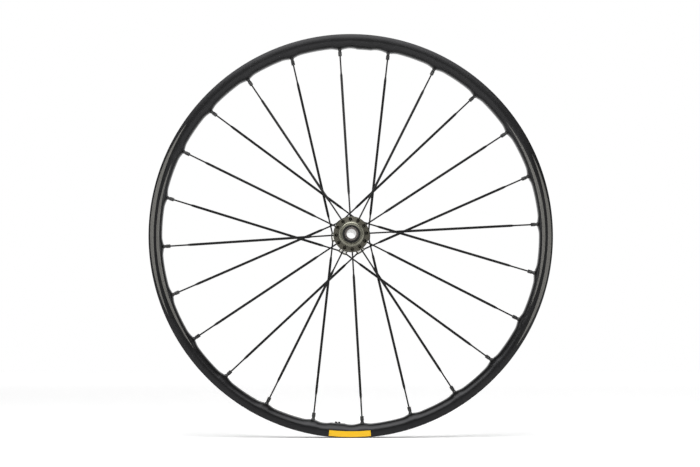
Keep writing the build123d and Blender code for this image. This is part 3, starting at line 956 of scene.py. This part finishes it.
def show_when_seen(tree, paper, seen):
    """Closes a tree: one shader for rays that look at the sheet, and plain paper for the rest."""
    path = add_node(tree, "ShaderNodeLightPath")
    mirrored = add_node(
        tree,
        "ShaderNodeMath",
        {"operation": "MAXIMUM"},
        {0: path.outputs["Is Camera Ray"], 1: path.outputs["Is Glossy Ray"]},
    )
    looking = add_node(
        tree,
        "ShaderNodeMath",
        {"operation": "MAXIMUM"},
        {0: mirrored.outputs["Value"], 1: path.outputs["Is Transmission Ray"]},
    )
    choice = add_node(
        tree,
        "ShaderNodeMixShader",
        inputs={"Fac": looking.outputs["Value"], 1: paper, 2: seen},
    )
    add_node(tree, "ShaderNodeOutputMaterial", inputs={"Surface": choice.outputs["Shader"]})


print("the wheel stands at", floor_z)

# %% Floor
FLOOR_HALF = 15.0
FLOOR_GLOW = (0.15, 0.85)
FLOOR_GLOW_REACH = (0.3, 4.5)
floor = stage_sheet(
    "floor",
    [
        (-FLOOR_HALF, -FLOOR_HALF, floor_z),
        (FLOOR_HALF, -FLOOR_HALF, floor_z),
        (FLOOR_HALF, FLOOR_HALF, floor_z),
        (-FLOOR_HALF, FLOOR_HALF, floor_z),
    ],
)
floor_finish, tree = new_material("white_paper_floor")
place = add_node(tree, "ShaderNodeTexCoord").outputs["Object"]
paper = add_node(tree, "ShaderNodeBsdfDiffuse", inputs={"Color": PAPER})
from_foot = add_node(
    tree,
    "ShaderNodeVectorMath",
    {"operation": "DISTANCE"},
    {0: place, 1: (0, 0, floor_z)},
)
fade = add_node(
    tree,
    "ShaderNodeMapRange",
    inputs={
        "Value": from_foot.outputs["Value"],
        "From Min": FLOOR_GLOW_REACH[0],
        "From Max": FLOOR_GLOW_REACH[1],
        "To Min": FLOOR_GLOW[0],
        "To Max": FLOOR_GLOW[1],
    },
)
glow = add_node(tree, "ShaderNodeEmission", inputs={"Strength": fade.outputs["Result"]})
lit = add_node(tree, "ShaderNodeAddShader", inputs={0: paper.outputs["BSDF"], 1: glow.outputs["Emission"]})
show_when_seen(tree, paper.outputs["BSDF"], lit.outputs["Shader"])
dress(floor, floor_finish)
print("floor glow", FLOOR_GLOW[0], "at the wheel and", FLOOR_GLOW[1], "far off")

# %% Backdrop
BACKDROP_Y = 5.0
BACKDROP_HALF_W = 9.0
BACKDROP_H = 7.0
top_z = floor_z + BACKDROP_H
backdrop = stage_sheet(
    "backdrop",
    [
        (-BACKDROP_HALF_W, BACKDROP_Y, floor_z),
        (BACKDROP_HALF_W, BACKDROP_Y, floor_z),
        (BACKDROP_HALF_W, BACKDROP_Y, top_z),
        (-BACKDROP_HALF_W, BACKDROP_Y, top_z),
    ],
)
backdrop_finish, tree = new_material("white_paper_backdrop")
paper = add_node(tree, "ShaderNodeBsdfDiffuse", inputs={"Color": PAPER})
glow = add_node(tree, "ShaderNodeEmission", inputs={"Strength": 1.0})
show_when_seen(tree, paper.outputs["BSDF"], glow.outputs["Emission"])
dress(backdrop, backdrop_finish)
print("backdrop at", BACKDROP_Y, "m behind the wheel")

# %% [markdown]
# The room itself is dim, so that the rim's inner side falls off to a dark charcoal. The light comes
# from softboxes: a wide one high in front draws the sheen along the flanks, one overhead and one
# behind pick out the hub and the rim's top, and one at each side keeps the left and right of the
# rim from going black. One lamp alone could light the front, but the rim's sides would be lost.

# %% World
AMBIENT = 0.14
world = bpy.data.worlds.new("soft_studio")
bpy.context.scene.world = world
world.use_nodes = True
tree = world.node_tree
tree.nodes.clear()
room = add_node(tree, "ShaderNodeBackground", inputs={"Color": (1, 1, 1, 1), "Strength": AMBIENT})
add_node(tree, "ShaderNodeOutputWorld", inputs={"Surface": room.outputs["Background"]})
print("world ambient", AMBIENT)

# %% Lamps
# Name, place in metres from the wheel's middle, width and height in metres, and watts.
SOFTBOXES = (
    ("high_front_softbox", (-0.25, -2.0, 2.0), 2.6, 2.2, 94),
    ("overhead_softbox", (0.0, -0.4, 2.5), 1.6, 1.0, 20),
    ("high_rear_softbox", (0.6, 2.0, 2.2), 1.4, 1.2, 12),
    ("left_softbox", (-2.2, -0.7, 0.5), 0.8, 1.6, 11),
    ("right_softbox", (2.2, -0.7, 0.5), 0.8, 1.6, 11),
)
for name, place, width, height, watts in SOFTBOXES:
    lamp = bpy.data.lights.new(name, "AREA")
    lamp.shape = "RECTANGLE"
    lamp.size = width
    lamp.size_y = height
    lamp.energy = watts
    holder = add_object(name, lamp)
    holder.location = place
    holder.rotation_euler = (-Vector(place)).to_track_quat("-Z", "Y").to_euler()
    print(name, watts, "W")

# %% [markdown]
# The camera stands in front of the plain side, a little below the axle and a touch to the left, as
# the hub's near end sits slightly off the rim's middle in the picture. Its distance sets the
# perspective, and its lens is worked out so that the rim fills as many pixels as in the photograph.

# %% Camera
FRAME_W = 700
FRAME_H = 467
SENSOR_W = 36.0
WHEEL_RADIUS_PX = 201.4
WHEEL_CENTRE_PX = (350.92, 235.40)
CAMERA_DISTANCE = 3.1
CAMERA_ELEVATION = -2.9
CAMERA_AZIMUTH = -0.9
metres_per_px = RIM_R / WHEEL_RADIUS_PX
aim_x = (FRAME_W / 2 - WHEEL_CENTRE_PX[0]) * metres_per_px
aim_z = (WHEEL_CENTRE_PX[1] - FRAME_H / 2) * metres_per_px
lift = radians(CAMERA_ELEVATION)
swing = radians(CAMERA_AZIMUTH)
sight = Vector((sin(swing) * cos(lift), -cos(swing) * cos(lift), sin(lift)))
camera_data = bpy.data.cameras.new("camera")
camera_data.sensor_width = SENSOR_W
camera_data.lens = WHEEL_RADIUS_PX * SENSOR_W / FRAME_W * CAMERA_DISTANCE / RIM_R
camera = add_object("camera", camera_data)
camera.location = Vector((aim_x, 0.0, aim_z)) + CAMERA_DISTANCE * sight
camera.rotation_euler = (-sight).to_track_quat("-Z", "Y").to_euler()
bpy.context.scene.camera = camera
bpy.context.scene.view_settings.view_transform = "Standard"
print("lens", round(camera_data.lens, 1), "mm at", CAMERA_DISTANCE, "m")
